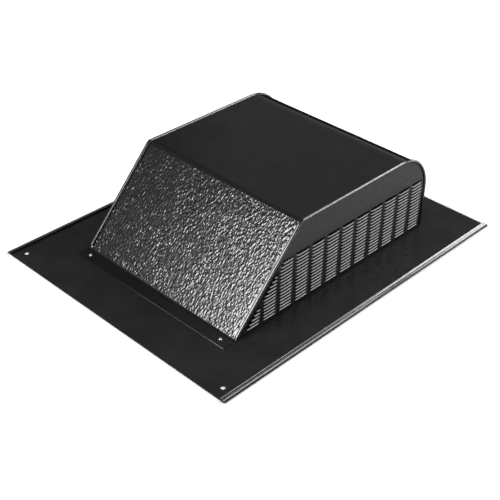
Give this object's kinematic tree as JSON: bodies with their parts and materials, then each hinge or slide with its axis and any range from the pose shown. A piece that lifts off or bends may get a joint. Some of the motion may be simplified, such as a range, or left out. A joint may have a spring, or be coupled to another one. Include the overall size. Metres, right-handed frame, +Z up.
{
  "type": "static roof vent",
  "caption": "Slant-back static roof vent of black painted sheet metal, with louvred sides, a rolled front and a hemmed base flashing around its throat.",
  "frame": {"origin": "centre of the throat on the underside of the base flashing, where it meets the roof deck", "axes": "+Z out of the roof, +Y down the slope towards the rolled front, +X to the right seen looking down the slope's -Y to +Y with +Z up"},
  "size_m": [0.375, 0.47, 0.1127],
  "materials": {
    "painted_sheet": "stucco-embossed sheet under semi-gloss black paint",
    "rivet_metal": "plain satin"
  },
  "bodies": {
    "root": {"base_flashing": "painted_sheet", "hood_sheet": "painted_sheet", "right_side_panel": "painted_sheet", "left_side_panel": "painted_sheet", "upslope_rivets": "rivet_metal", "front_rivets": "rivet_metal", "right_side_rivets": "rivet_metal", "left_side_rivets": "rivet_metal"}
  },
  "joints": []
}
